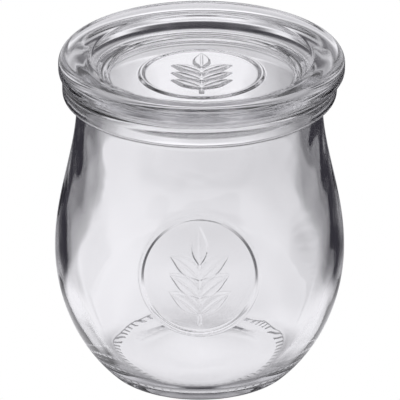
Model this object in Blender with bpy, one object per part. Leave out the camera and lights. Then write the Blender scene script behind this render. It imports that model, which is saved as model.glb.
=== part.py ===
"""A clear glass canning jar with a round tulip body, and the flat glass lid that rests on its mouth.

Lengths are in metres and +Z is up. The origin is the middle of the base, on the surface that the jar
stands on. The front, with the raised medallion, faces -Y.
"""

import math

import bmesh
import bpy
from mathutils import Vector

# Body of the jar.
JAR_TOP_Z = 0.0778
BELLY_R = 0.0360
BELLY_Z = 0.0315
FOOT_R = 0.0232
NECK_R = 0.0302
NECK_Z = 0.0720
WALL = 0.0028
HEEL_WALL = 0.0034
FLOOR_Z = 0.0036
FLOOR_ROUND = 0.0008

# Base: a flat ring to stand on, short grooves round it, and a shallow recess that slopes up inside it.
STAND_OUTER_R = 0.0226
STAND_INNER_R = 0.0182
RECESS_R = 0.0110
RECESS_DEPTH = 0.0008
GROOVE_COUNT = 60
GROOVE_INNER_R = 0.0204
GROOVE_OUTER_R = 0.0224
GROOVE_HALF_WIDTH = 0.0006
GROOVE_DEPTH = 0.0004

# Rim round the mouth.
RIM_R = 0.0337
RIM_FOOT_Z = 0.0728
RIM_TOP_ROUND = 0.0017
RIM_FOOT_ROUND = 0.0012
COVE = 0.0008
MOUTH_R = 0.0282
MOUTH_FOOT_Z = 0.0718
NECK_INSIDE_Z = 0.0703
MOUTH_ROUND = 0.0006

# Lid: a thick rounded flange round a recessed disc, with a ring under it that drops into the mouth.
GAP = 0.0003
LID_SHIFT = 0.0005
LID_R = 0.0351
LID_TOP_Z = 0.0836
CREST_R = 0.0329
FLANGE_UNDER_Z = JAR_TOP_Z + GAP
SHOULDER_DROP = 0.0024
FLANGE_FOOT_ROUND = 0.0018
EDGE_R = 0.0273
EDGE_Z = 0.0825
WALL_FOOT_R = 0.0243
STEP_R = 0.0229
DISC_TOP_Z = 0.0780
STEP_RISE = 0.0005
RING_R = 0.0270
RING_FOOT_Z = 0.0730
RING_ROUND = 0.0009
RING_INNER_R = 0.0244
DISC_UNDER_R = 0.0234
DISC_UNDER_Z = 0.0750

# Raised ornament: a round frame with a sprig of leaves, on the front of the jar and on the lid.
MEDALLION_Z = 0.0395
FRAME_R = 0.0148
FRAME_HALF_WIDTH = 0.0007
JAR_RELIEF = 0.0006
LID_RELIEF = 0.0004
ROOT_DEPTH = 0.0006
STEM_FOOT = -0.0118
STEM_TOP = 0.0040
LEAF_PAIRS = 3
LEAF_PITCH = 0.0046
LEAF_LENGTH = 0.0096
LEAF_HALF_WIDTH = 0.0021
LEAF_LEAN = math.radians(38)
LEAF_BEND = math.radians(30)
TINY_WIDTH = 0.00012

# How finely round shapes are cut.
SIDES = 64
FRAME_SIDES = 40
LEAF_STEPS = 6

GLASS_COLOUR = (0.93, 0.94, 0.97, 1.0)
GLASS_ROUGHNESS = 0.02
GLASS_IOR = 1.52


def clear_scene():
    for obj in list(bpy.data.objects):
        bpy.data.objects.remove(obj, do_unlink=True)


def spread(start, end, count):
    """Evenly spaced numbers from start to end, both included."""
    return [start + (end - start) * i / (count - 1) for i in range(count)]


def arc(centre, semi_axes, start, end, count):
    """Points of an elliptical arc in the plane of radius and height, from one angle to another in degrees."""
    turns = [math.radians(a) for a in spread(start, end, count)]
    return [(centre[0] + semi_axes[0] * math.cos(t), centre[1] + semi_axes[1] * math.sin(t)) for t in turns]


def outer_radius(z):
    """Radius of the outer wall at a height: an ellipse below the belly, half a cosine wave above it."""
    if z < BELLY_Z:
        reach = BELLY_Z / math.sqrt(1 - (FOOT_R / BELLY_R) ** 2)
        return BELLY_R * math.sqrt(1 - ((BELLY_Z - z) / reach) ** 2)
    turn = math.pi * min(1.0, (z - BELLY_Z) / (NECK_Z - BELLY_Z))
    return NECK_R + (BELLY_R - NECK_R) * (1 + math.cos(turn)) / 2


def inside_point(z):
    """The inside's point across the wall from a height on the outside.

    It lies in along the wall's normal by its thickness, which grows towards the heel. A smooth maximum
    with the floor's height rounds the wall into the floor.
    """
    step = 0.0001
    out, up = outer_radius(z + step) - outer_radius(z - step), 2 * step
    low = min(1.0, max(0.0, (BELLY_Z - z) / BELLY_Z))
    share = (WALL + (HEEL_WALL - WALL) * low**2) / math.hypot(out, up)
    rise = (z + out * share - FLOOR_Z) / FLOOR_ROUND
    return (outer_radius(z) - up * share, FLOOR_Z + FLOOR_ROUND * math.log1p(math.exp(rise)))


def jar_profile():
    """Half section of the jar, from the middle of the floor, up the inside, over the rim and down the outside."""
    points = [(0.0, FLOOR_Z)]
    points += [inside_point(z) for z in (-0.0040, -0.0012, 0.0004, 0.0017, 0.0030, 0.0046)]
    points += [inside_point(z) for z in (0.0070, 0.0105, 0.0150, 0.0200, 0.0255, BELLY_Z)]
    points += [inside_point(z) for z in spread(BELLY_Z, NECK_INSIDE_Z, 7)[1:]]
    points += [(MOUTH_R, MOUTH_FOOT_Z)]
    points += arc((MOUTH_R + MOUTH_ROUND, JAR_TOP_Z - MOUTH_ROUND), (MOUTH_ROUND, MOUTH_ROUND), 180, 90, 3)
    points += arc((RIM_R - RIM_TOP_ROUND, JAR_TOP_Z - RIM_TOP_ROUND), (RIM_TOP_ROUND, RIM_TOP_ROUND), 90, 0, 5)
    points += arc((RIM_R - RIM_FOOT_ROUND, RIM_FOOT_Z + RIM_FOOT_ROUND), (RIM_FOOT_ROUND, RIM_FOOT_ROUND), 0, -90, 4)
    points += arc((NECK_R + COVE, RIM_FOOT_Z - COVE), (COVE, COVE), 90, 180, 4)
    points += [(outer_radius(z), z) for z in spread(NECK_Z, BELLY_Z, 9)[1:]]
    points += [(outer_radius(z), z) for z in (0.0240, 0.0175, 0.0120, 0.0078, 0.0044, 0.0020)]
    corner = (FOOT_R - STAND_OUTER_R) * 2
    points += arc((STAND_OUTER_R, corner), (corner, corner), -44, -90, 3)
    points += [(STAND_INNER_R, 0.0), (RECESS_R, RECESS_DEPTH), (0.0, RECESS_DEPTH)]
    return points


def lid_profile():
    """Half section of the lid, from the middle of its top, over the flange and back under the ring."""
    points = [(0.0, DISC_TOP_Z), (STEP_R, DISC_TOP_Z)]
    points += [(STEP_R + STEP_RISE, DISC_TOP_Z + STEP_RISE), (WALL_FOOT_R, DISC_TOP_Z + STEP_RISE)]
    points += [(WALL_FOOT_R + STEP_RISE, DISC_TOP_Z + 1.6 * STEP_RISE), (EDGE_R - STEP_RISE, EDGE_Z - STEP_RISE)]
    points += [(EDGE_R, EDGE_Z), (EDGE_R + 0.55 * (CREST_R - EDGE_R), EDGE_Z + 0.8 * (LID_TOP_Z - EDGE_Z))]
    shoulder = (LID_R - CREST_R, SHOULDER_DROP)
    points += arc((CREST_R, LID_TOP_Z - SHOULDER_DROP), shoulder, 90, 0, 6)
    foot = (LID_R - FLANGE_FOOT_ROUND, FLANGE_UNDER_Z + FLANGE_FOOT_ROUND)
    points += arc(foot, (FLANGE_FOOT_ROUND, FLANGE_FOOT_ROUND), 0, -90, 4)
    points += [(RING_R + GAP, FLANGE_UNDER_Z)]
    corner = (RING_R - RING_ROUND, RING_FOOT_Z + RING_ROUND)
    points += arc(corner, (RING_ROUND, RING_ROUND), 0, -90, 4)
    points += [(RING_INNER_R, RING_FOOT_Z), (DISC_UNDER_R, DISC_UNDER_Z), (0.0, DISC_UNDER_Z)]
    return points


def glass_material(name):
    material = bpy.data.materials.new(name)
    material.use_nodes = True
    shader = material.node_tree.nodes["Principled BSDF"]
    shader.inputs["Base Color"].default_value = GLASS_COLOUR
    shader.inputs["Roughness"].default_value = GLASS_ROUGHNESS
    shader.inputs["Metallic"].default_value = 0.0
    shader.inputs["IOR"].default_value = GLASS_IOR
    shader.inputs["Transmission Weight"].default_value = 1.0
    return material


def mesh_object(name, mesh, collection=None):
    obj = bpy.data.objects.new(name, mesh)
    (collection or bpy.context.scene.collection).objects.link(obj)
    return obj


def helper(name, mesh, collection=None):
    """An object that only shapes another one, drawn as wire and left out of a render."""
    obj = mesh_object(name, mesh, collection)
    obj.display_type = "WIRE"
    obj.hide_render = True
    return obj


def turned(name, profile, material):
    """A solid turned about the Z axis from its half section."""
    mesh = bpy.data.meshes.new(name)
    edges = [(i, i + 1) for i in range(len(profile) - 1)]
    mesh.from_pydata([(r, 0.0, z) for r, z in profile], edges, [])
    obj = mesh_object(name, mesh)
    obj.data.materials.append(material)
    screw = obj.modifiers.new("turn", "SCREW")
    screw.axis = "Z"
    screw.angle = 2 * math.pi
    screw.steps = SIDES
    screw.render_steps = SIDES
    screw.use_merge_vertices = True
    screw.merge_threshold = 0.00001
    screw.use_smooth_shade = True
    return obj


def boolean(obj, name, operation, other):
    modifier = obj.modifiers.new(name, "BOOLEAN")
    modifier.operation = operation
    modifier.solver = "EXACT"
    if isinstance(other, bpy.types.Collection):
        modifier.operand_type = "COLLECTION"
        modifier.collection = other
    else:
        modifier.object = other
    return modifier


def on_wall(across, up, out):
    """The point of the front wall that lies this far across and up from the medallion's middle."""
    z = MEDALLION_Z + up
    turn = across / BELLY_R
    r = outer_radius(z) + out
    return Vector((r * math.sin(turn), -r * math.cos(turn), z))


def on_disc(across, up, out):
    """The point of the lid's disc that lies this far across and back from its middle."""
    return Vector((across, up, DISC_TOP_Z + out))


def ridge(name, line, half_widths, height, place, collection, closed=False):
    """A raised strip along a line, narrower at its top, with its root sunk into the glass below."""
    bm = bmesh.new()
    last = len(line) - 1
    rings = []
    for i, (x, y) in enumerate(line):
        before = line[i - 1] if closed or i > 0 else line[0]
        after = line[(i + 1) % len(line)] if closed or i < last else line[last]
        way = Vector((after[0] - before[0], after[1] - before[1])).normalized()
        corners = ((1.0, -ROOT_DEPTH), (-1.0, -ROOT_DEPTH), (-0.5, height), (0.5, height))
        ring = []
        for share, out in corners:
            reach = share * half_widths[i]
            ring.append(bm.verts.new(place(x - way.y * reach, y + way.x * reach, out)))
        rings.append(ring)
    for i in range(len(rings) if closed else last):
        here, there = rings[i], rings[(i + 1) % len(rings)]
        for k in range(4):
            n = (k + 1) % 4
            bm.faces.new((here[k], here[n], there[n], there[k]))
    if not closed:
        bm.faces.new(rings[0])
        bm.faces.new(rings[last])
    bmesh.ops.recalc_face_normals(bm, faces=bm.faces)
    mesh = bpy.data.meshes.new(name)
    bm.to_mesh(mesh)
    bm.free()
    return helper(name, mesh, collection)


def leaf_line(root, lean, bend):
    """Centre line of a leaf that starts at root, leans from the stem and bends back towards it."""
    line = [root]
    step = LEAF_LENGTH / LEAF_STEPS
    for i in range(LEAF_STEPS):
        turn = lean + bend * (i + 0.5) / LEAF_STEPS
        x, y = line[-1]
        line.append((x + step * math.sin(turn), y + step * math.cos(turn)))
    return line


def leaf_half_widths():
    """Pointed at both ends and widest a little below the middle."""
    shares = [i / LEAF_STEPS for i in range(LEAF_STEPS + 1)]
    return [TINY_WIDTH + LEAF_HALF_WIDTH * math.sin(math.pi * s ** 0.85) for s in shares]


def ornament(prefix, height, place):
    """A collection with the raised frame, the stem and the leaves."""
    collection = bpy.data.collections.new(prefix)
    bpy.context.scene.collection.children.link(collection)
    turns = [2 * math.pi * i / FRAME_SIDES for i in range(FRAME_SIDES)]
    frame = [(FRAME_R * math.cos(t), FRAME_R * math.sin(t)) for t in turns]
    ridge(prefix + "_frame", frame, [FRAME_HALF_WIDTH] * FRAME_SIDES, height, place, collection, closed=True)
    stem = [(0.0, y) for y in spread(STEM_FOOT, STEM_TOP, 6)]
    ridge(prefix + "_stem", stem, [0.55 * FRAME_HALF_WIDTH] * 6, 0.7 * height, place, collection)
    widths = leaf_half_widths()
    top = leaf_line((0.0, STEM_TOP - 0.0008), 0.0, 0.0)
    ridge(prefix + "_leaf_top", top, widths, height, place, collection)
    for pair in range(LEAF_PAIRS):
        root_y = STEM_FOOT + 0.0022 + LEAF_PITCH * pair
        for side in (-1, 1):
            line = leaf_line((0.0, root_y), side * LEAF_LEAN, side * LEAF_BEND)
            name = "%s_leaf_%d_%s" % (prefix, pair, "left" if side < 0 else "right")
            ridge(name, line, widths, height, place, collection)
    return collection


def groove_cutter():
    """Short wedge-shaped grooves, pointing at the axis, all round the standing ring."""
    bm = bmesh.new()
    below = -GROOVE_DEPTH
    for i in range(GROOVE_COUNT):
        turn = 2 * math.pi * (i + 0.5) / GROOVE_COUNT
        out = Vector((math.cos(turn), math.sin(turn), 0.0))
        side = Vector((-math.sin(turn), math.cos(turn), 0.0))
        half = GROOVE_HALF_WIDTH * (1 - below / GROOVE_DEPTH)
        ends = []
        for r in (GROOVE_INNER_R, GROOVE_OUTER_R):
            corners = (out * r - side * half, out * r + side * half, out * r)
            heights = (below, below, GROOVE_DEPTH)
            ends.append([bm.verts.new(c + Vector((0, 0, z))) for c, z in zip(corners, heights)])
        inner, outer = ends
        bm.faces.new(inner)
        bm.faces.new(outer)
        for k in range(3):
            n = (k + 1) % 3
            bm.faces.new((inner[k], inner[n], outer[n], outer[k]))
    bmesh.ops.recalc_face_normals(bm, faces=bm.faces)
    mesh = bpy.data.meshes.new("groove_cutter")
    bm.to_mesh(mesh)
    bm.free()
    return helper("groove_cutter", mesh)


def make_jar():
    jar = turned("jar", jar_profile(), glass_material("jar_glass"))
    boolean(jar, "medallion", "UNION", ornament("jar_medallion", JAR_RELIEF, on_wall))
    boolean(jar, "base_grooves", "DIFFERENCE", groove_cutter())
    return jar


def make_lid():
    lid = turned("lid", lid_profile(), glass_material("lid_glass"))
    medallion = ornament("lid_medallion", LID_RELIEF, on_disc)
    boolean(lid, "medallion", "UNION", medallion)
    lid.location.x = LID_SHIFT
    for piece in medallion.objects:
        piece.parent = lid
    return lid


clear_scene()
make_jar()
make_lid()
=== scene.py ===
# %% [markdown]
# A canning jar in clear glass
#
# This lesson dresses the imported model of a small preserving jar: a round tulip body, and a thick
# glass lid that rests on its mouth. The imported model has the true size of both, cut into flat faces.
# Clear glass shows every flat face as a broken reflection, so both pieces are made again here as
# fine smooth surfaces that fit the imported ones, and they take their place.
#
# Lengths are in metres, +Z is up, and the front of the jar faces -Y.

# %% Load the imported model
import math

import bpy
import numpy as np
from mathutils import Matrix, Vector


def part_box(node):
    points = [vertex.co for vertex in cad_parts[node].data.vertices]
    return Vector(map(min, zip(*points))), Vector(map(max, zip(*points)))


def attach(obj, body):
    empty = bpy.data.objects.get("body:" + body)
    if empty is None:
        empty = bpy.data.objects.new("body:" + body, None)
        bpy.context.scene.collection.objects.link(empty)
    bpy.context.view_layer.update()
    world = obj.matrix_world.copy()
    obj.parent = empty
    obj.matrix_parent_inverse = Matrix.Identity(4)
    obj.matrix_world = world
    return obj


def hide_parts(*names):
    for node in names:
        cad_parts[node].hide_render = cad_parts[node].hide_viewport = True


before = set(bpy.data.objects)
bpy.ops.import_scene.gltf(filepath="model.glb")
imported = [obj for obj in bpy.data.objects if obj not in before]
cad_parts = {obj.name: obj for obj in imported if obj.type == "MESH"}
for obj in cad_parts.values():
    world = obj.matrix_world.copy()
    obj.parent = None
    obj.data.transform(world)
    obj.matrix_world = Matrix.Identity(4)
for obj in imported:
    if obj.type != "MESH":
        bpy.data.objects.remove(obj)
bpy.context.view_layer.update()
jar_low, jar_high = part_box("jar")
lid_low, lid_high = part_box("lid")
print("jar", tuple(jar_low), tuple(jar_high))
print("lid", tuple(lid_low), tuple(lid_high))

# %% [markdown]
# The measures of the glass
#
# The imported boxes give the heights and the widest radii. What a box can't tell, such as the
# thickness of the wall or the radius of a groove, is named here once, at its real size.

# %% Measures
MM = 0.001
JAR_TOP = jar_high.z
BELLY_R = jar_high.x
BELLY_Z = 31.5 * MM
FOOT_R = 23.2 * MM
NECK_R = 30.2 * MM
NECK_Z = 72.0 * MM
WALL = 2.8 * MM
HEEL_WALL = 3.4 * MM
FLOOR_Z = 3.6 * MM
LID_R = (lid_high.x - lid_low.x) / 2
LID_X = (lid_high.x + lid_low.x) / 2
LID_TOP = lid_high.z
LID_UNDER = lid_low.z
print("lid radius", LID_R, "moved aside by", LID_X)

# %% [markdown]
# Curves with round corners
#
# Pressed glass has no sharp corners. A half section is drawn as a few corners, each with the length
# that its rounding takes from the two sides, and every corner becomes a short quadratic curve.
# Many hand-placed points would do the same, but then a change of one radius moves all of them.


# %% Rounded outlines
def rounded(corners, steps=9):
    """Line through (r, z, cut) corners. Each corner with a cut becomes the curve
    (1-t)^2 a + 2 t (1-t) corner + t^2 b, where a and b lie the cut's length before and after it."""
    share = np.linspace(0, 1, steps)[:, None]
    line = [np.array(corners[0][:2])[None]]
    for before, here, after in zip(corners[:-2], corners[1:-1], corners[2:]):
        p = np.array(here[:2])
        back, on = np.array(before[:2]) - p, np.array(after[:2]) - p
        a = p + back / np.linalg.norm(back) * here[2]
        b = p + on / np.linalg.norm(on) * here[2]
        curve = (1 - share) ** 2 * a + 2 * share * (1 - share) * p + share**2 * b
        line.append(curve if here[2] > 0 else p[None])
    line.append(np.array(corners[-1][:2])[None])
    return np.concatenate(line)


def even(line, spacing):
    """The same line with its points spaced evenly, by reading it along its length."""
    steps = np.linalg.norm(np.diff(line, axis=0), axis=1)
    way = np.concatenate([[0], np.cumsum(steps)])
    marks = np.linspace(0, way[-1], max(2, int(round(way[-1] / spacing)) + 1))
    return np.stack([np.interp(marks, way, line[:, k]) for k in (0, 1)], 1)


def joined(*lines):
    """Lines put end to end, without the points that they share."""
    kept = [lines[0]] + [line[1:] for line in lines[1:]]
    return np.concatenate(kept)


print("points in one round corner:", len(rounded([(0, 0, 0), (1, 0, 0.5), (1, 1, 0)])) - 2)

# %% [markdown]
# Surfaces turned about the axis
#
# A jar is a half section carried round a circle, so it is a function of two parameters: the place
# along the section and the turn about the axis. The Screw modifier does that too, but here each
# part of the glass needs its own fineness, and the raised ornament has to move the points along
# the surface's own normal, so the grid is worked out with arrays. Blocks of different fineness lie
# a narrow seam apart, and a strip of triangles across the seam joins them into one closed skin,
# because light has to pass through it.


# %% Turned grids
def normals_of(line):
    """Unit normals of a half section: the way along it turned a quarter turn, so that a section
    that runs down its outer side gets normals that point outwards."""
    way = np.gradient(line, axis=0)
    way /= np.linalg.norm(way, axis=1)[:, None]
    return np.stack([-way[:, 1], way[:, 0]], 1)


def turned(line, turns, lift=0.0):
    """Points (r cos t, r sin t, z) for each row of the line and each turn t, each moved out along
    the normal by the lift given for that row and turn."""
    out = normals_of(line)
    r = line[:, 0, None] + out[:, 0, None] * lift + 0 * turns[None]
    z = line[:, 1, None] + out[:, 1, None] * lift + 0 * turns[None]
    return np.stack([r * np.cos(turns), r * np.sin(turns), z], -1)


class Skin:
    """Collects blocks of points and faces that together make one closed surface."""

    def __init__(self):
        self.points, self.faces, self.count = [], [], 0

    def add(self, points):
        """Keeps the points and returns their numbers in the same rows and columns."""
        first = self.count
        flat = points.reshape(-1, 3)
        self.points.append(flat)
        self.count += len(flat)
        return first + np.arange(len(flat)).reshape(points.shape[:-1])

    def quads(self, ids):
        """Faces between neighbouring rows and columns, the last column joined to the first."""
        on = np.roll(ids, -1, axis=1)
        self.faces.append(np.stack([ids[:-1], ids[1:], on[1:], on[:-1]], -1).reshape(-1, 4))

    def strip(self, ring_a, turns_a, ring_b, turns_b):
        """Triangles between two rings with different numbers of points: each side of one ring meets
        the point of the other ring that was reached last by going round."""
        whole = 2 * math.pi
        ends_a, ends_b = np.append(turns_a, whole), np.append(turns_b, whole)
        i, j = np.arange(len(ring_a)), np.arange(len(ring_b))
        k = np.searchsorted(ends_b, ends_a[1:], side="right") - 1
        m = np.searchsorted(ends_a, ends_b[1:], side="left") - 1
        self.faces.append(np.stack([ring_a[i], ring_b[k % len(ring_b)], ring_a[(i + 1) % len(ring_a)]], -1))
        self.faces.append(np.stack([ring_a[m], ring_b[j], ring_b[(j + 1) % len(ring_b)]], -1))

    def fan(self, ring, pole, outward):
        """Triangles from a ring to one point on the axis."""
        tip = self.add(np.array([pole], float))[0] + 0 * ring
        on = np.roll(ring, -1)
        order = [tip, ring, on] if outward else [ring, tip, on]
        self.faces.append(np.stack(order, -1))

    def make(self, name):
        """The Blender object, smooth shaded, with its place in its mesh."""
        mesh = bpy.data.meshes.new(name)
        points = np.concatenate(self.points)
        faces = [face for block in self.faces for face in block.tolist()]
        mesh.from_pydata(points.tolist(), [], faces)
        mesh.polygons.foreach_set("use_smooth", np.ones(len(mesh.polygons), bool))
        mesh.update()
        triangles = sum(len(block) * (block.shape[1] - 2) for block in self.faces)
        obj = bpy.data.objects.new(name, mesh)
        bpy.context.scene.collection.objects.link(obj)
        print(name, "points", len(points), "triangles", triangles)
        return obj


def circle(count):
    """Turns of evenly spaced points round a circle, the first at 0."""
    return np.arange(count) * 2 * math.pi / count


# %% [markdown]
# The raised ornament
#
# The front of the jar and the middle of the lid carry an ornament pressed into the mould: a round
# frame with a sprig of leaves. It is made as a height over the plain glass, worked out for each
# point, so that the same sprig lies on the round wall and on the flat lid. Modelled ridges joined
# by a Boolean would leave a hard seam in the glass. The mould's edges are soft, so each height
# fades over a few tenths of a millimetre.

# %% Measures of the ornament
FRAME_R = 14.8 * MM
FRAME_HALF = 0.70 * MM
STEM_FOOT, STEM_TOP = -11.8 * MM, 4.0 * MM
STEM_HALF = 0.45 * MM
LEAF_LENGTH, LEAF_HALF = 9.6 * MM, 2.1 * MM
LEAF_LEAN, LEAF_BEND = math.radians(38), math.radians(30)
LEAF_PAIRS, LEAF_PITCH, FIRST_LEAF = 3, 4.6 * MM, 2.2 * MM
SOFT_EDGE = 0.25 * MM
VEIN_HALF = 0.25 * MM
STEM_SHARE, VEIN_SHARE, EDGE_SHARE, ROUND_SHARE = 0.8, 0.35, 0.75, 0.6
TOP_LEAF_SINK = 0.8 * MM
print("leaves:", 2 * LEAF_PAIRS + 1)


# %% Heights of the ornament
def fade(x):
    """0 below 0, 1 above 1 and the smooth step 3x^2 - 2x^3 between."""
    x = np.clip(x, 0, 1)
    return x * x * (3 - 2 * x)


def ridge(distance, half):
    """Height of a round-topped ridge: 1 on its line, fading to 0 at the edge of its foot."""
    return fade((half + SOFT_EDGE / 2 - np.abs(distance)) / (half * ROUND_SHARE + SOFT_EDGE / 2))


def leaf(along, across):
    """Height of one leaf: half as wide as half * sin(pi * share^0.85), so that it is pointed at both
    ends, domed, and with a vein down its middle."""
    share = np.clip(along / LEAF_LENGTH, 0, 1)
    half = LEAF_HALF * np.sin(math.pi * share**0.85) + 1e-6
    inside = fade((half - np.abs(across)) / SOFT_EDGE) * (along > 0) * (along < LEAF_LENGTH)
    dome = EDGE_SHARE + (1 - EDGE_SHARE) * np.clip(1 - (across / half) ** 2, 0, 1)
    vein = 1 - VEIN_SHARE * np.exp(-((across / VEIN_HALF) ** 2)) * fade(share * 6)
    return inside * dome * vein


def sprig(x, y):
    """Height of the frame and the sprig at (x, y), from 0 to 1. A side leaf's middle line is an arc
    of a circle, so a point's place along and across it is its turn and its distance about the
    arc's centre. Both sides are alike, so they are worked out for |x|."""
    height = ridge(np.hypot(x, y) - FRAME_R, FRAME_HALF)
    on_stem = np.hypot(x, y - np.clip(y, STEM_FOOT, STEM_TOP))
    height = np.maximum(height, STEM_SHARE * ridge(on_stem, STEM_HALF))
    height = np.maximum(height, leaf(y - STEM_TOP + TOP_LEAF_SINK, x))
    bow = LEAF_LENGTH / LEAF_BEND
    for pair in range(LEAF_PAIRS):
        root = STEM_FOOT + FIRST_LEAF + LEAF_PITCH * pair
        dx = np.abs(x) - bow * math.cos(LEAF_LEAN)
        dy = y - root + bow * math.sin(LEAF_LEAN)
        along = (np.arctan2(dy, -dx) - LEAF_LEAN) * bow
        height = np.maximum(height, leaf(along, np.hypot(dx, dy) - bow))
    return height


print("height on the stem:", float(sprig(np.array(0.0), np.array(STEM_FOOT + FIRST_LEAF))))

# %% [markdown]
# The outside of the jar
#
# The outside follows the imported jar: an ellipse below the belly and half a cosine wave above it.
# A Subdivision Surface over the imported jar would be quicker, but it shrinks the shape and leaves it
# as coarse on the ornament as on the plain wall. Here the rows and columns are a quarter of a
# millimetre apart where the ornament is, and wider elsewhere, which keeps the piece light.

# %% Jar, measures of the outer side
MEDALLION_Z = 39.5 * MM
MEDALLION_REACH = 16.2 * MM
JAR_RELIEF = 0.56 * MM
FIELD_RELIEF = 0.03 * MM
RIM_R = 33.7 * MM
RIM_FOOT = 72.8 * MM
MOUTH_R = 28.2 * MM
STAND_R = 22.6 * MM
FINE, COARSE = 0.24 * MM, 0.9 * MM
COLUMNS_BEFORE, COLUMNS_AFTER = 84, 22
SEAM = 0.15 * MM
FRONT = 1.5 * math.pi
TOP_Z, LOW_Z = MEDALLION_Z + MEDALLION_REACH, MEDALLION_Z - MEDALLION_REACH
print("ornament between heights", LOW_Z, "and", TOP_Z)


# %% Jar, wall
def outer_radius(z):
    """Below the belly r = belly * sqrt(1 - (drop / reach)^2), above it
    r = neck + (belly - neck) * (1 + cos(pi * share of the way to the neck)) / 2."""
    reach = BELLY_Z / math.sqrt(1 - (FOOT_R / BELLY_R) ** 2)
    below = BELLY_R * np.sqrt(1 - (np.clip(BELLY_Z - z, 0, None) / reach) ** 2)
    share = np.clip((z - BELLY_Z) / (NECK_Z - BELLY_Z), 0, 1)
    above = NECK_R + (BELLY_R - NECK_R) * (1 + np.cos(math.pi * share)) / 2
    return np.where(z < BELLY_Z, below, above)


def wall_line(top, bottom, spacing):
    """The outside between two heights, from the upper one down."""
    z = np.linspace(top, bottom, 400)
    return even(np.stack([outer_radius(z), z], 1), spacing)


def front_turns():
    """Turns about the axis from 0 up: close together across the ornament in front, wide elsewhere."""
    half = MEDALLION_REACH / BELLY_R
    near = np.linspace(FRONT - half, FRONT + half, int(2 * MEDALLION_REACH / FINE) + 1)
    before = np.linspace(0, FRONT - half, COLUMNS_BEFORE, endpoint=False)
    after = np.linspace(FRONT + half, 2 * math.pi, COLUMNS_AFTER, endpoint=False)[1:]
    return np.concatenate([before, near, after])


def jar_relief(line, turns):
    """The ornament on the wall, spread by the way round at the belly, over a slightly raised field."""
    across = (turns[None] - FRONT) * BELLY_R
    up = line[:, 1, None] - MEDALLION_Z
    field = fade((FRAME_R - np.hypot(across, up)) / (2 * SOFT_EDGE))
    near = np.maximum(np.abs(across), np.abs(up)) < MEDALLION_REACH
    return np.where(near, JAR_RELIEF * sprig(across, up) + FIELD_RELIEF * field, 0)


print("radius at the belly", float(outer_radius(BELLY_Z)), "and at the neck", float(outer_radius(NECK_Z)))

# %% Jar, rim and foot
MOUTH_EDGE = 0.75 * MM
NECK_EDGE = 0.6 * MM
FOOT_EDGE_Z = 0.5 * MM
STAND_EDGE_R = STAND_R - 0.1 * MM

rim_line = rounded(
    [
        (MOUTH_R + MOUTH_EDGE + SEAM, JAR_TOP, 0),
        (RIM_R, JAR_TOP, 1.7 * MM),
        (RIM_R, RIM_FOOT, 1.4 * MM),
        (NECK_R, RIM_FOOT - 0.1 * MM, 0.7 * MM),
        (NECK_R, NECK_Z - NECK_EDGE, 0),
    ]
)
foot_line = rounded(
    [
        (float(outer_radius(np.array(FOOT_EDGE_Z))), FOOT_EDGE_Z, 0),
        (STAND_R + 0.5 * MM, 0.0, 0.5 * MM),
        (STAND_EDGE_R, 0.0, 0),
    ]
)
outside = joined(
    even(rim_line, 0.35 * MM),
    wall_line(NECK_Z - NECK_EDGE, TOP_Z, COARSE),
    wall_line(TOP_Z, LOW_Z, FINE),
    wall_line(LOW_Z, FOOT_EDGE_Z, COARSE),
    even(foot_line, 0.15 * MM),
)
print("rows on the outer side", len(outside), "columns", len(front_turns()))

# %% [markdown]
# The inside of the jar
#
# The mould shapes only the outside. Inside, the hot glass is pushed up by a plunger and by air, so
# its wall is never quite even. That is what bends the dark edges of a real jar into streaks. A sum
# of slow waves round and up the wall gives that, and it fades out at the mouth and on the floor.
# A bump in the material would not do: it bends the light, but leaves the wall's thickness alone.

# %% Jar, inner side
WAVE_COUNT, MOST_TURNS = 24, 22
WAVE_HEIGHT = 0.13 * MM
SHORTEST, LONGEST = 40 * MM, 160 * MM
FLOOR_SOFT = 0.8 * MM
NECK_CUT = 0.8 * MM
NECK_INSIDE, MOUTH_FOOT = 70.3 * MM, 71.8 * MM


def waves(turns, z):
    """Sum of sines A / k^0.7 sin(k t + q z + phase), with k a whole number so that they close round
    the jar, and a wavelength up the wall that is shorter where k is larger."""
    dice = np.random.default_rng(7)
    total = 0 * turns[None] + 0 * z[:, None]
    for k in np.linspace(1, MOST_TURNS, WAVE_COUNT).round():
        q = 2 * math.pi / (dice.uniform(SHORTEST, LONGEST) / math.sqrt(k)) * dice.choice([-1, 1])
        phase = dice.uniform(0, 2 * math.pi)
        total = total + np.sin(k * turns[None] + q * z[:, None] + phase) / k**0.7
    return total * WAVE_HEIGHT / 2


def inside_line():
    """From the middle of the floor up to the seam on top of the rim. The wall is the outside moved
    in along its normal by its thickness, which grows from the belly to the heel. A smooth maximum,
    floor + soft * log(1 + exp((z - floor) / soft)), rounds it into the flat floor."""
    z = np.linspace(-6 * MM, NECK_INSIDE - NECK_CUT, 3000)
    outer = np.stack([outer_radius(z), z], 1)
    drop = np.clip((BELLY_Z - z) / BELLY_Z, 0, 1)
    thick = WALL + (HEEL_WALL - WALL) * drop**2
    inner = outer + normals_of(outer) * thick[:, None]
    rise = (inner[:, 1] - FLOOR_Z) / FLOOR_SOFT
    inner[:, 1] = FLOOR_Z + FLOOR_SOFT * (np.log1p(np.exp(-np.abs(rise))) + np.clip(rise, 0, None))
    wall = joined(np.array([(0, inner[0, 1]), (1 * MM, inner[0, 1])]), inner)
    mouth = rounded(
        [
            (*inner[-1], 0),
            (NECK_R - WALL, NECK_INSIDE, 0.7 * MM),
            (MOUTH_R, MOUTH_FOOT, 0.7 * MM),
            (MOUTH_R, JAR_TOP, 0.6 * MM),
            (MOUTH_R + MOUTH_EDGE, JAR_TOP, 0),
        ]
    )
    return joined(even(wall, 0.8 * MM), even(mouth, 0.3 * MM))


inside = inside_line()
print("rows on the inner side", len(inside))

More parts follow.
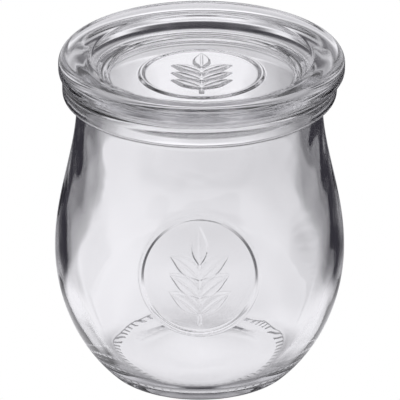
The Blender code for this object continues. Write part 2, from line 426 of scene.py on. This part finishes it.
# %% [markdown]
# The base
#
# The jar stands on a flat ring. Round it runs a band of short grooves that keep the hot jar from
# sticking and slipping on the belt, and they show through the floor as a ring of small teeth. An
# Array of cutters and a Boolean could cut them. A cosine round the ring needs no cutters, and its
# soft teeth bend the light as pressed ones do.

# %% Jar, base
STAND_INNER_R, RECESS_R, RECESS_DEPTH = 18.2 * MM, 11.0 * MM, 0.8 * MM
GROOVE_COUNT = 60
GROOVE_IN, GROOVE_OUT = 19.9 * MM, 22.5 * MM
GROOVE_DEPTH = 0.4 * MM
GROOVE_SLOPE = 0.3 * MM


def groove_depth(r, turns):
    """Depth of the grooves: (1 + cos(count * t)) / 2 round the ring, fading at both ends."""
    teeth = (1 + np.cos(GROOVE_COUNT * turns[None])) / 2
    ends = fade((r - GROOVE_IN) / GROOVE_SLOPE) * fade((GROOVE_OUT - r) / GROOVE_SLOPE)
    return GROOVE_DEPTH * teeth * ends[:, None]


stand_line = [(STAND_EDGE_R - SEAM, 0), (STAND_INNER_R, 0)]
recess_corners = [
    (STAND_INNER_R, 0, 0),
    (STAND_INNER_R - 0.8 * MM, 0, 0.7 * MM),
    (RECESS_R, RECESS_DEPTH, 3.5 * MM),
    (1 * MM, RECESS_DEPTH, 0),
]
base_line = joined(
    even(np.array(stand_line), 0.2 * MM),
    even(rounded(recess_corners), 1.0 * MM),
)
print("rows on the base", len(base_line))

# %% Jar, put together
INNER_COLUMNS = 160
POINTS_PER_GROOVE = 6
CALM_FROM, CALM_ON_FLOOR, CALM_AT_MOUTH = 1 * MM, 12 * MM, 8 * MM


def make_jar():
    """One closed surface: floor and inner wall, rim and outer side, then the base."""
    skin = Skin()
    inner_turns, outer_turns = circle(INNER_COLUMNS), front_turns()
    base_turns = circle(POINTS_PER_GROOVE * GROOVE_COUNT)
    rows = inside[1:]
    calm = fade((rows[:, 1] - FLOOR_Z - CALM_FROM) / CALM_ON_FLOOR)
    calm = calm * fade((NECK_Z - rows[:, 1]) / CALM_AT_MOUTH)
    inner = skin.add(turned(rows, inner_turns, waves(inner_turns, rows[:, 1]) * calm[:, None]))
    outer = skin.add(turned(outside, outer_turns, jar_relief(outside, outer_turns)))
    base = skin.add(turned(base_line, base_turns, -groove_depth(base_line[:, 0], base_turns)))
    skin.fan(inner[0], (0, 0, FLOOR_Z), outward=True)
    for block in (inner, outer, base):
        skin.quads(block)
    skin.strip(inner[-1], inner_turns, outer[0], outer_turns)
    skin.strip(outer[-1], outer_turns, base[0], base_turns)
    skin.fan(base[-1], (0, 0, RECESS_DEPTH), outward=False)
    return skin.make("jar_glass")


jar = make_jar()

# %% [markdown]
# The lid
#
# The lid is one thick piece: a broad rounded flange, a sloping wall and step down to a flat disc,
# and under it a ring that fits in the mouth. The disc carries the same ornament, so it needs a
# fine even grid. A turned grid crowds its points at the axis, so the disc is a square grid bent
# to a circle instead, and the turned part of the lid starts round it.

# %% Lid, measures
DISC_TOP = 78.0 * MM
DISC_R = 22.3 * MM
FLANGE_UNDER = 78.1 * MM
RING_R, RING_INNER_R = 27.0 * MM, 24.4 * MM
DISC_UNDER_R, DISC_UNDER = 23.4 * MM, 75.0 * MM
LID_RELIEF = 0.38 * MM
CREST_R, SHOULDER_DROP = 32.9 * MM, 2.4 * MM
PLATE_EDGE_R = DISC_UNDER_R - 1.4 * MM
DISC_CELLS, LID_COLUMNS = 170, 300
LID_SPACING = 0.22 * MM
print("lid, thickness of the flange", LID_TOP - FLANGE_UNDER)


# %% Lid, disc
def round_grid(cells, radius):
    """A square grid (u, v) bent to a circle: x = u sqrt(1 - v^2 / 2), y = v sqrt(1 - u^2 / 2)."""
    v, u = np.meshgrid(np.linspace(-1, 1, cells + 1), np.linspace(-1, 1, cells + 1), indexing="ij")
    return radius * u * np.sqrt(1 - v**2 / 2), radius * v * np.sqrt(1 - u**2 / 2)


def rim_of(ids, x, y):
    """The outermost points of a square grid and their turns, in order from turn 0."""
    ring = np.concatenate([ids[0, :-1], ids[:-1, -1], ids[-1, :0:-1], ids[:0:-1, 0]])
    turns = np.arctan2(y.ravel()[ring - ids[0, 0]], x.ravel()[ring - ids[0, 0]])
    turns = np.where(turns < -1e-9, turns + 2 * math.pi, np.abs(turns))
    order = np.argsort(turns)
    return ring[order], turns[order]


print("spacing of the disc's grid", 2 * DISC_R / DISC_CELLS)


# %% Lid, half section
def lid_line():
    """Half section from the edge of the disc, over the flange and back under the ring. The shoulder
    is a quarter of an ellipse about (crest, top - drop)."""
    slope = rounded(
        [
            (DISC_R + SEAM, DISC_TOP, 0),
            (22.9 * MM, DISC_TOP, 0.25 * MM),
            (23.4 * MM, DISC_TOP + 0.5 * MM, 0.25 * MM),
            (24.3 * MM, DISC_TOP + 0.55 * MM, 0.5 * MM),
            (27.3 * MM, 82.5 * MM, 0.4 * MM),
            (30.4 * MM, LID_TOP - 0.15 * MM, 1.0 * MM),
            (CREST_R, LID_TOP, 0),
        ]
    )
    turn = np.linspace(math.pi / 2, 0, 60)
    out = CREST_R + (LID_R - CREST_R) * np.cos(turn)
    shoulder = np.stack([out, LID_TOP - SHOULDER_DROP * (1 - np.sin(turn))], 1)
    under = rounded(
        [
            (LID_R, LID_TOP - SHOULDER_DROP, 0),
            (LID_R, FLANGE_UNDER, 1.9 * MM),
            (RING_R + 0.3 * MM, FLANGE_UNDER, 0.3 * MM),
            (RING_R, LID_UNDER, 1.0 * MM),
            (RING_INNER_R, LID_UNDER, 0.5 * MM),
            (DISC_UNDER_R, DISC_UNDER, 0.8 * MM),
            (PLATE_EDGE_R, DISC_UNDER, 0),
        ]
    )
    plate = even(np.array([(PLATE_EDGE_R, DISC_UNDER), (1 * MM, DISC_UNDER)]), 2 * MM)
    return joined(even(joined(slope, shoulder, under), LID_SPACING), plate)


print("rows round the lid", len(lid_line()))


# %% Lid, put together
def make_lid():
    """One closed surface: the disc with the ornament, then the turned flange and ring. The ornament
    fades out before the disc's edge, and the mesh is moved aside by the lid's play in the mouth."""
    skin = Skin()
    x, y = round_grid(DISC_CELLS, DISC_R)
    calm = fade((DISC_R - 0.8 * MM - np.hypot(x, y)) / (1 * MM))
    z = DISC_TOP + LID_RELIEF * sprig(x, y) * calm
    disc = skin.add(np.stack([x, y, z], -1))
    turns = circle(LID_COLUMNS)
    ring = skin.add(turned(lid_line(), turns))
    corners = [disc[:-1, :-1], disc[:-1, 1:], disc[1:, 1:], disc[1:, :-1]]
    skin.faces.append(np.stack(corners, -1).reshape(-1, 4))
    edge, edge_turns = rim_of(disc, x, y)
    skin.strip(edge, edge_turns, ring[0], turns)
    skin.quads(ring)
    skin.fan(ring[-1], (0, 0, DISC_UNDER), outward=False)
    obj = skin.make("lid_glass")
    obj.data.transform(Matrix.Translation((LID_X, 0, 0)))
    return obj


lid = make_lid()

# %% [markdown]
# The glass
#
# Clear soda-lime glass bends light by 1.52. Its colour sits in its depth and not on its surface, so
# the surface stays white and a Volume Absorption takes a little light for each millimetre. A grey
# base colour would darken thin and thick glass alike. Fire-polished glass is smooth but not flat,
# so slow noise tilts the surface by a hair.
#
# Between the lid and the rim light goes to and fro dozens of times. Perfectly clear glass would
# break it into grains there, and real pressed glass blurs it a little. So the roughness rises with
# the height on the jar's rim, and with the radius on the lid's flange. The mould's field inside the
# jar's ornament is slightly matte too.

# %% Measures of the glass
GLASS_IOR = 1.52
GLASS_TINT, TINT_DENSITY = (0.42, 0.42, 0.50, 1), 3.0
JAR_RIPPLE, JAR_RIPPLE_DEPTH = 9 * MM, 0.03 * MM
LID_RIPPLE, LID_RIPPLE_DEPTH = 6 * MM, 0.002 * MM
SOFTER_OVER = 2 * MM
RIM_SOFT_FROM, WALL_ROUGH, RIM_ROUGH = 70 * MM, 0.02, 0.12
FLANGE_SOFT_FROM, DISC_ROUGH, FLANGE_ROUGH = 30.5 * MM, 0.0, 0.11
MATTE_FIELD = 0.15
print("index of the glass", GLASS_IOR)


# %% Helpers for nodes
def distance_node(tree, place, axes, middle):
    """Length of place * axes - middle, the distance from the line through the middle that runs
    along the axis left out."""
    offset = tree.nodes.new("ShaderNodeVectorMath")
    offset.operation = "MULTIPLY_ADD"
    offset.inputs[1].default_value = axes
    offset.inputs[2].default_value = [-number for number in middle]
    tree.links.new(place, offset.inputs[0])
    length = tree.nodes.new("ShaderNodeVectorMath")
    length.operation = "LENGTH"
    tree.links.new(offset.outputs["Vector"], length.inputs[0])
    return length.outputs["Value"]


def ramp_node(tree, value, places, levels, kind="SMOOTHSTEP"):
    """The first level before the first place, the second after the second, and a way between."""
    ramp = tree.nodes.new("ShaderNodeMapRange")
    ramp.interpolation_type = kind
    ramp.inputs["From Min"].default_value, ramp.inputs["From Max"].default_value = places
    ramp.inputs["To Min"].default_value, ramp.inputs["To Max"].default_value = levels
    tree.links.new(value, ramp.inputs["Value"])
    return ramp.outputs["Result"]


# %% Roughness of the two pieces
def jar_rough(tree, place):
    """The rim's roughness comes in with the height. To it comes, where y < 0, the matte field,
    where the distance from the middle of the ornament is less than the frame's radius."""
    parts = tree.nodes.new("ShaderNodeSeparateXYZ")
    tree.links.new(place, parts.inputs["Vector"])
    height = parts.outputs["Z"]
    rub = ramp_node(tree, height, (RIM_SOFT_FROM, RIM_SOFT_FROM + SOFTER_OVER), (WALL_ROUGH, RIM_ROUGH))
    away = distance_node(tree, place, (1, 0, 1), (0, 0, MEDALLION_Z))
    edge = (FRAME_R - 0.2 * MM, FRAME_R - 0.9 * MM)
    field = ramp_node(tree, away, edge, (0, MATTE_FIELD), "LINEAR")
    front = tree.nodes.new("ShaderNodeMath")
    front.operation = "LESS_THAN"
    front.inputs[1].default_value = 0.0
    tree.links.new(parts.outputs["Y"], front.inputs[0])
    rough = tree.nodes.new("ShaderNodeMath")
    rough.operation = "MULTIPLY_ADD"
    for socket, value in zip(rough.inputs, (field, front.outputs["Value"], rub)):
        tree.links.new(value, socket)
    return rough.outputs["Value"]


def lid_rough(tree, place):
    """The flange's roughness comes in with the distance from the axis."""
    away = distance_node(tree, place, (1, 1, 0), (0, 0, 0))
    places = (FLANGE_SOFT_FROM, FLANGE_SOFT_FROM + SOFTER_OVER)
    return ramp_node(tree, away, places, (DISC_ROUGH, FLANGE_ROUGH))


# %% Glass material
def glass(name, ripple, ripple_depth, rough):
    """Clear glass whose noise has features of the ripple's size and depth."""
    material = bpy.data.materials.new(name)
    material.use_nodes = True
    tree = material.node_tree
    shader, output = tree.nodes["Principled BSDF"], tree.nodes["Material Output"]
    shader.inputs["Base Color"].default_value = (1, 1, 1, 1)
    shader.inputs["IOR"].default_value = GLASS_IOR
    shader.inputs["Transmission Weight"].default_value = 1.0
    place = tree.nodes.new("ShaderNodeTexCoord").outputs["Object"]
    noise = tree.nodes.new("ShaderNodeTexNoise")
    noise.inputs["Scale"].default_value = 1 / ripple
    noise.inputs["Detail"].default_value = 1.5
    tree.links.new(place, noise.inputs["Vector"])
    bump = tree.nodes.new("ShaderNodeBump")
    bump.inputs["Strength"].default_value = 1.0
    bump.inputs["Distance"].default_value = ripple_depth
    tree.links.new(noise.outputs["Fac"], bump.inputs["Height"])
    tree.links.new(bump.outputs["Normal"], shader.inputs["Normal"])
    tree.links.new(rough(tree, place), shader.inputs["Roughness"])
    depth = tree.nodes.new("ShaderNodeVolumeAbsorption")
    depth.inputs["Color"].default_value = GLASS_TINT
    depth.inputs["Density"].default_value = TINT_DENSITY
    tree.links.new(depth.outputs["Volume"], output.inputs["Volume"])
    print(name, "nodes", len(tree.nodes))
    return material


jar.data.materials.append(glass("jar_glass", JAR_RIPPLE, JAR_RIPPLE_DEPTH, jar_rough))
lid.data.materials.append(glass("lid_glass", LID_RIPPLE, LID_RIPPLE_DEPTH, lid_rough))

for piece, node in ((jar, "jar"), (lid, "lid")):
    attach(piece, "root")
    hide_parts(node)

# %% [markdown]
# The camera
#
# The photo looks down at the jar by about 25 degrees through a long lens: the outline of the lid,
# the rim and the grooved ring under the floor agree on that angle and on a distance of 1.15 m.
# A constraint could aim the camera at the jar, but the distance and the angle say it as plainly.

# %% Camera
LOOK_DOWN = math.radians(24.83)
CAMERA_AWAY = 1.149
AIM = (0.0001, 0.0, 0.0439)
SENSOR = 36.0
LENS = 416.9

camera_data = bpy.data.cameras.new("camera")
camera_data.sensor_width = SENSOR
camera_data.lens = LENS
camera_data.clip_start, camera_data.clip_end = 0.05, 20
camera = bpy.data.objects.new("camera", camera_data)
camera.location = (
    AIM[0],
    AIM[1] - CAMERA_AWAY * math.cos(LOOK_DOWN),
    AIM[2] + CAMERA_AWAY * math.sin(LOOK_DOWN),
)
camera.rotation_euler = (math.pi / 2 - LOOK_DOWN, 0, 0)
bpy.context.scene.collection.objects.link(camera)
bpy.context.scene.camera = camera
print("camera at", tuple(camera.location))

# %% [markdown]
# The light round the jar
#
# Clear glass has no colour to paint: it shows what stands round it, bent and mirrored. So the studio
# is the real material here. A panorama picture or a few area lights could stand for it, but then a
# dark line in the lid can't be traced back to what makes it. Here it is two functions, the light of
# a dome over the jar and the light of the table under it. Each is a few marks and soft steps that
# stand for real things: dark cards at both sides behind the jar, a window high behind it with a
# dark bar below, a dark strip at the horizon, a bright screen above the camera and the dark room
# round the camera itself.

# %% Marks of the sky, as degrees up and light
SCREEN = 1.15
STRAIGHT_BEHIND = [
    (0, 0.0), (4, 0.0), (8, 1.1), (12, 0.3), (24, 0.25), (30, 0.45),
    (36, 0.0), (48, 0.0), (50, 1.1), (58, 1.1), (63, 0.05),
]
BEHIND = [
    (0, 1.1), (6, 1.0), (10, 0.4), (20, 0.25), (30, 0.5),
    (38, 0.45), (46, 0.6), (51, 1.1), (58, 1.1), (63, 0.05),
]
BESIDE = [(0, 0.9), (5, 0.6), (10, 0.6), (20, 0.9), (30, 0.7), (45, 0.25), (60, 0.08)]
IN_FRONT = [(0, 0.03), (23, 0.03), (27, SCREEN), (49, SCREEN), (51, 0.3), (66, 0.08)]
print("marks of the sky", len(STRAIGHT_BEHIND) + len(BEHIND) + len(BESIDE) + len(IN_FRONT))


# %% Light of the sky
def step(x, start, end):
    """0 before start, 1 after end and a smooth step between."""
    return fade((x - start) / (end - start))


def band(x, start, full, less, end):
    """1 from full to less, 0 before start and after end, and a smooth step on either side."""
    return step(x, start, full) * (1 - step(x, less, end))


def mix(a, b, share):
    """a + (b - a) * share."""
    return a + (b - a) * share


def through(marks, x):
    """Straight lines through the marks, read at x."""
    places, lights = zip(*marks)
    return np.interp(x, places, lights)


def sky_light(up, aside):
    """Light of the dome by the angle up from the table and the angle aside from straight behind, in
    degrees. The four lists of marks are mixed by the angle aside."""
    back = mix(through(STRAIGHT_BEHIND, up), through(BEHIND, up), step(aside, 7, 16))
    back = mix(back, through(BESIDE, up), step(aside, 12, 55))
    return mix(back, through(IN_FRONT, up), step(aside, 110, 150))


print("sky 50 degrees up behind the jar", float(sky_light(50.0, 0.0)))

# %% Light of the table
TABLE = [
    (0, 1.0), (12, 0.88), (25, 0.88), (60, 0.93), (85, 0.88),
    (105, 0.84), (130, 0.82), (205, 0.8), (250, 0.75), (400, 0.9),
]
CARD_FROM, CARD_TO = 39, 68
CARD_FRONT, CARD_BACK = 26, 280
# The last of these is how deep the painted shadow round the jar's foot is.
GLOW_LIGHT, GAP_DARK, FOOT_SHADOW_DARK = 1.15, 0.9, 0.85


def table_light(x, y):
    """Light of the table by millimetres to the right and back. It falls with the distance r, a little
    more on the right, and on it lie a bright glow and a dark gap far behind the jar, two dark cards
    beside them and, in front, a painted shadow of the jar in a ring round its foot."""
    r, aside = np.hypot(x, y), np.abs(x)
    level = through(TABLE, r)
    right = step(x, -28, 4) * step(y, 10, 30)
    level = level * (1 - right * (0.10 + 0.08 * step(r, 95, 122) + 0.10 * step(x, 16, 36)))
    glow = band(r, 138, 150, 200, 215) * (1 - step(aside, 14, 26)) * (y > 0)
    level = mix(level, GLOW_LIGHT, glow)
    gap = band(r, 215, 245, 320, 420) * (1 - step(aside, 22, 60)) * (y > 0)
    level = level * (1 - GAP_DARK * gap)
    card = mix(step(aside, CARD_FROM, CARD_TO), step(aside, CARD_FROM - 2, CARD_FROM + 2), 0.35)
    card = card * band(y, CARD_FRONT - 8, CARD_FRONT + 8, CARD_BACK, CARD_BACK + 40)
    level = level * (1 - card)
    # Painted shadow: the jar's contact shadow, a dark ring on the table round its foot in front.
    foot = band(r, 20.5, 22.5, 26, 31) * (1 - step(y, -6, 14))
    return level * (1 - FOOT_SHADOW_DARK * foot)


print("table under the jar", float(table_light(0.0, 0.0)))

# %% [markdown]
# The studio
#
# Each function is worked out at the points of a mesh and kept there as a colour attribute, which
# the material reads as its own light. The camera must see an even white floor, but the glass must
# see the shaded table, so there are two: ray visibility shows one to the camera alone and the other
# to the glass alone. The table and the sky hang on a rig that turns with the camera, as if the jar
# were turned on the table, so that every side of the jar is lit alike.

# %% Studio
WHITE = np.array([0.970, 0.962, 1.0, 1.0])
BLACK = np.array([0.033, 0.031, 0.040, 1.0])
ROOM_R = 3.0
RING_STEP, FINE_RINGS, WIDE_RINGS = 4 * MM, 80, 16
TABLE_DROP = 0.05 * MM
ROUND, SKY_ROWS = 145, 73


def own_light(name, attribute=None):
    """A material that only gives out light: an even white, or what the mesh's attribute says."""
    material = bpy.data.materials.new(name)
    material.use_nodes = True
    material.cycles.emission_sampling = "NONE"
    nodes, links = material.node_tree.nodes, material.node_tree.links
    nodes.remove(nodes["Principled BSDF"])
    light = nodes.new("ShaderNodeEmission")
    if attribute:
        read = nodes.new("ShaderNodeAttribute")
        read.attribute_name = attribute
        links.new(read.outputs["Color"], light.inputs["Color"])
    links.new(light.outputs["Emission"], nodes["Material Output"].inputs["Surface"])
    return material


def screen(name, points, levels, material, to_camera=False):
    """A grid of points with a light level each, kept for the camera's rays or for the glass's."""
    rows, columns = points.shape[:2]
    ids = np.arange(rows * columns).reshape(rows, columns)
    faces = np.stack([ids[:-1, :-1], ids[:-1, 1:], ids[1:, 1:], ids[1:, :-1]], -1).reshape(-1, 4)
    mesh = bpy.data.meshes.new(name)
    mesh.from_pydata(points.reshape(-1, 3).tolist(), [], faces.tolist())
    colours = mesh.attributes.new("light", "FLOAT_COLOR", "POINT")
    colours.data.foreach_set("color", mix(BLACK, WHITE, levels.reshape(-1, 1)).ravel())
    mesh.materials.append(material)
    obj = bpy.data.objects.new(name, mesh)
    bpy.context.scene.collection.objects.link(obj)
    obj.visible_camera = to_camera
    obj.visible_transmission = obj.visible_glossy = not to_camera
    obj.visible_diffuse = obj.visible_shadow = False
    print(name, "light from", round(float(levels.min()), 2), "to", round(float(levels.max()), 2))
    return obj


# %% Floor, table and sky
rig = bpy.data.objects.new("studio_rig", None)
bpy.context.scene.collection.objects.link(rig)
follow = rig.constraints.new("COPY_ROTATION")
follow.target = camera
follow.use_x = follow.use_y = False

round_turns = np.linspace(-math.pi, math.pi, ROUND)
fine_rings = np.arange(FINE_RINGS) * RING_STEP
wide_rings = np.geomspace(FINE_RINGS * RING_STEP, ROOM_R, WIDE_RINGS)
rings = np.concatenate([fine_rings, wide_rings])
ring, turn = np.meshgrid(rings, round_turns, indexing="ij")
x, y = ring * np.sin(turn), ring * np.cos(turn)
flat = np.stack([x, y, 0 * x - TABLE_DROP], -1)
up, turn = np.meshgrid(np.linspace(0, math.pi / 2, SKY_ROWS), round_turns, indexing="ij")
dome = ROOM_R * np.stack([np.cos(up) * np.sin(turn), np.cos(up) * np.cos(turn), np.sin(up)], -1)

floor = screen("floor", flat, 0 * x, own_light("floor_white"), to_camera=True)
table = screen("table", flat, table_light(x / MM, y / MM), own_light("table_shaded", attribute="light"))
table.parent = rig
sky_levels = sky_light(np.degrees(up), np.abs(np.degrees(turn)))
sky = screen("sky", dome, sky_levels, own_light("sky_shaded", attribute="light"))
sky.parent = rig

# %% Room and light paths
ROOM_GREY = (0.5, 0.5, 0.5, 1)
world = bpy.data.worlds.new("room")
world.use_nodes = True
world.node_tree.nodes["Background"].inputs["Color"].default_value = ROOM_GREY
bpy.context.scene.world = world

scene = bpy.context.scene
scene.view_settings.view_transform = "Standard"
scene.cycles.max_bounces = 24
scene.cycles.transmission_bounces = 24
scene.cycles.glossy_bounces = 8
scene.cycles.transparent_max_bounces = 16
print("most bounces of a light path", scene.cycles.max_bounces)
